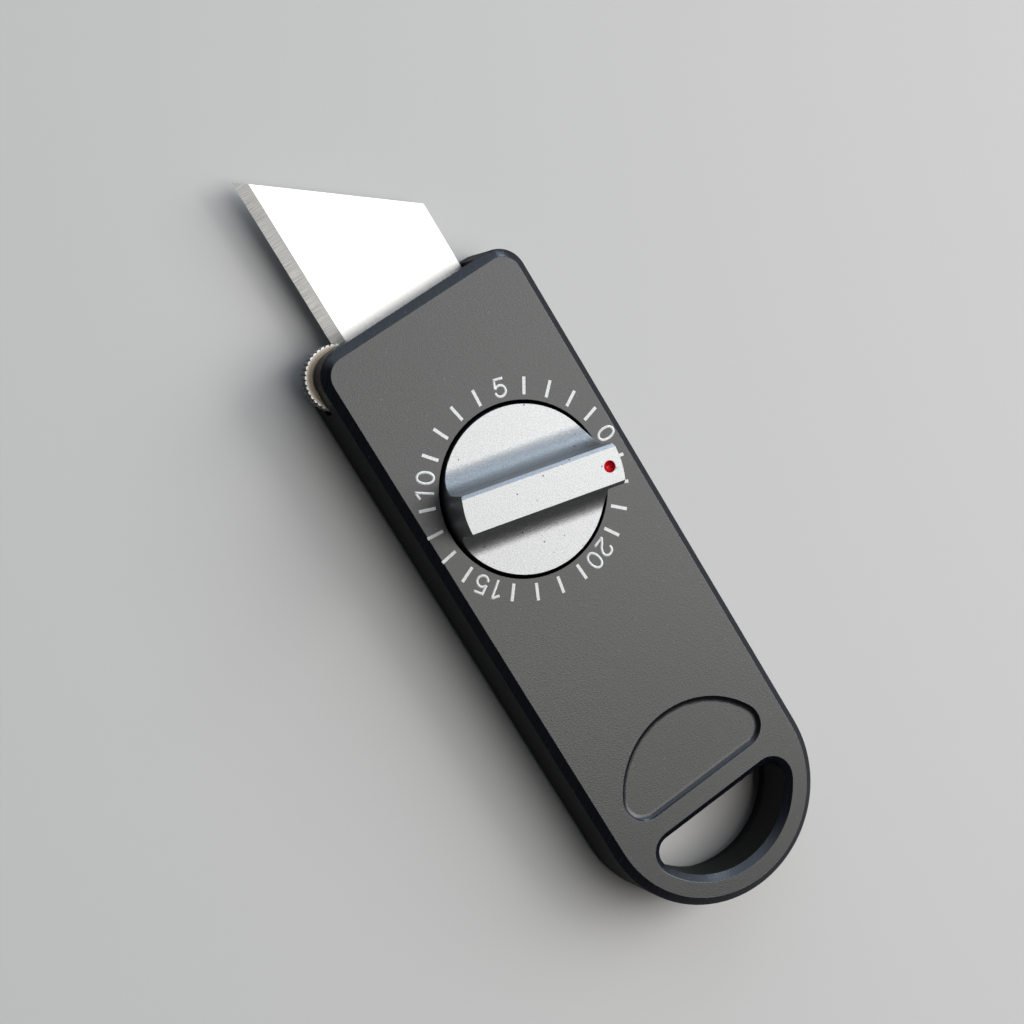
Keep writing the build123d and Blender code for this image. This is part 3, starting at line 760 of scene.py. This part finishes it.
# Lights: two large soft boxes over the face, on the spine side, and a small cool window light beyond
# the blade. The first whitens the blade and the knob, and the window lights the knob's hollow.
def soft_box(name, place, width, height, power, colour):
    """Area light that looks at the knife from a place."""
    data = bpy.data.lights.new(name, "AREA")
    data.shape = "RECTANGLE"
    data.size = width
    data.size_y = height
    data.energy = power
    data.color = colour
    lamp = bpy.data.objects.new(name, data)
    bpy.context.collection.objects.link(lamp)
    lamp.location = place
    lamp.rotation_euler = Vector(place).to_track_quat("Z", "Y").to_euler()
    lamp.visible_camera = False


BOX_WHITE, WINDOW_BLUE = (1.0, 0.99, 0.97), (0.72, 0.84, 1.0)
soft_box("overhead_box", place=(0.30, -0.12, 0.70), width=0.53, height=0.79, power=3.5, colour=BOX_WHITE)
soft_box("side_box", place=(0.66, -0.12, 0.46), width=0.50, height=0.50, power=2.4, colour=BOX_WHITE)
soft_box("window", place=(0.67, 0.59, 0.11), width=0.24, height=0.20, power=0.75, colour=WINDOW_BLUE)

# Surroundings: a dim room with cool daylight beyond the blade, which the hollows and chamfers mirror.
# Where the camera looks past the floor, it sees the backdrop.
DAYLIGHT_FROM = (0.75, 0.66, 0.0)
DAYLIGHT_EDGE, HORIZON = (0.14, 0.78), (-0.04, 0.08)
ROOM_DIM, DAYLIGHT_BLUE = (0.03, 0.03, 0.03), (0.72, 0.85, 1.0)
world = bpy.data.worlds.new("studio")
world.use_nodes = True
tree = world.node_tree
look = coordinate(tree, "Generated")
towards = span(tree, vector_math(tree, "DOT_PRODUCT", look, DAYLIGHT_FROM), *DAYLIGHT_EDGE, ease="SMOOTHSTEP")
above = span(tree, part_of(tree, look, "Z"), *HORIZON, ease="SMOOTHSTEP")
daylight = number_math(tree, "MULTIPLY", towards, above)
room = tree.nodes["Background"]
room.inputs["Strength"].default_value = 1.0
feed(tree, room, Color=ramp(tree, daylight, ROOM_DIM, DAYLIGHT_BLUE))
backdrop = tree.nodes.new("ShaderNodeBackground")
backdrop.inputs["Color"].default_value = BACKDROP_COLOUR
backdrop.inputs["Strength"].default_value = BACKDROP_GLOW
seen = tree.nodes.new("ShaderNodeLightPath").outputs["Is Camera Ray"]
pick = tree.nodes.new("ShaderNodeMixShader")
for inlet, source in zip(pick.inputs, (seen, room.outputs["Background"], backdrop.outputs["Background"])):
    tree.links.new(source, inlet)
tree.links.new(pick.outputs["Shader"], tree.nodes["World Output"].inputs["Surface"])
bpy.context.scene.world = world
bpy.context.scene.view_settings.view_transform = "Standard"

# Camera: where the photograph was taken from, above the face and a little to the edge side.
# Its place and turn were fitted to the dial's scale, the body's edges and the seam.
CAMERA_PLACE = Vector((-71.54, 49.62, 249.10)) * MM
CAMERA_RIGHT = Vector((0.79158753, -0.51043411, 0.33592588))
CAMERA_DOWN = Vector((-0.5482642, -0.83602566, 0.02162111))
CAMERA_AHEAD = Vector((0.2698065, -0.20129113, -0.94164024))
SENSOR_WIDTH, LENS_LENGTH, NEAREST = 36.0, 73.88, 0.01
camera_data = bpy.data.cameras.new("camera")
camera_data.sensor_width = SENSOR_WIDTH
camera_data.lens = LENS_LENGTH
camera_data.clip_start = NEAREST
camera = bpy.data.objects.new("camera", camera_data)
bpy.context.collection.objects.link(camera)
camera.matrix_world = Matrix((
    (CAMERA_RIGHT.x, -CAMERA_DOWN.x, -CAMERA_AHEAD.x, CAMERA_PLACE.x),
    (CAMERA_RIGHT.y, -CAMERA_DOWN.y, -CAMERA_AHEAD.y, CAMERA_PLACE.y),
    (CAMERA_RIGHT.z, -CAMERA_DOWN.z, -CAMERA_AHEAD.z, CAMERA_PLACE.z),
    (0, 0, 0, 1),
))
bpy.context.scene.camera = camera
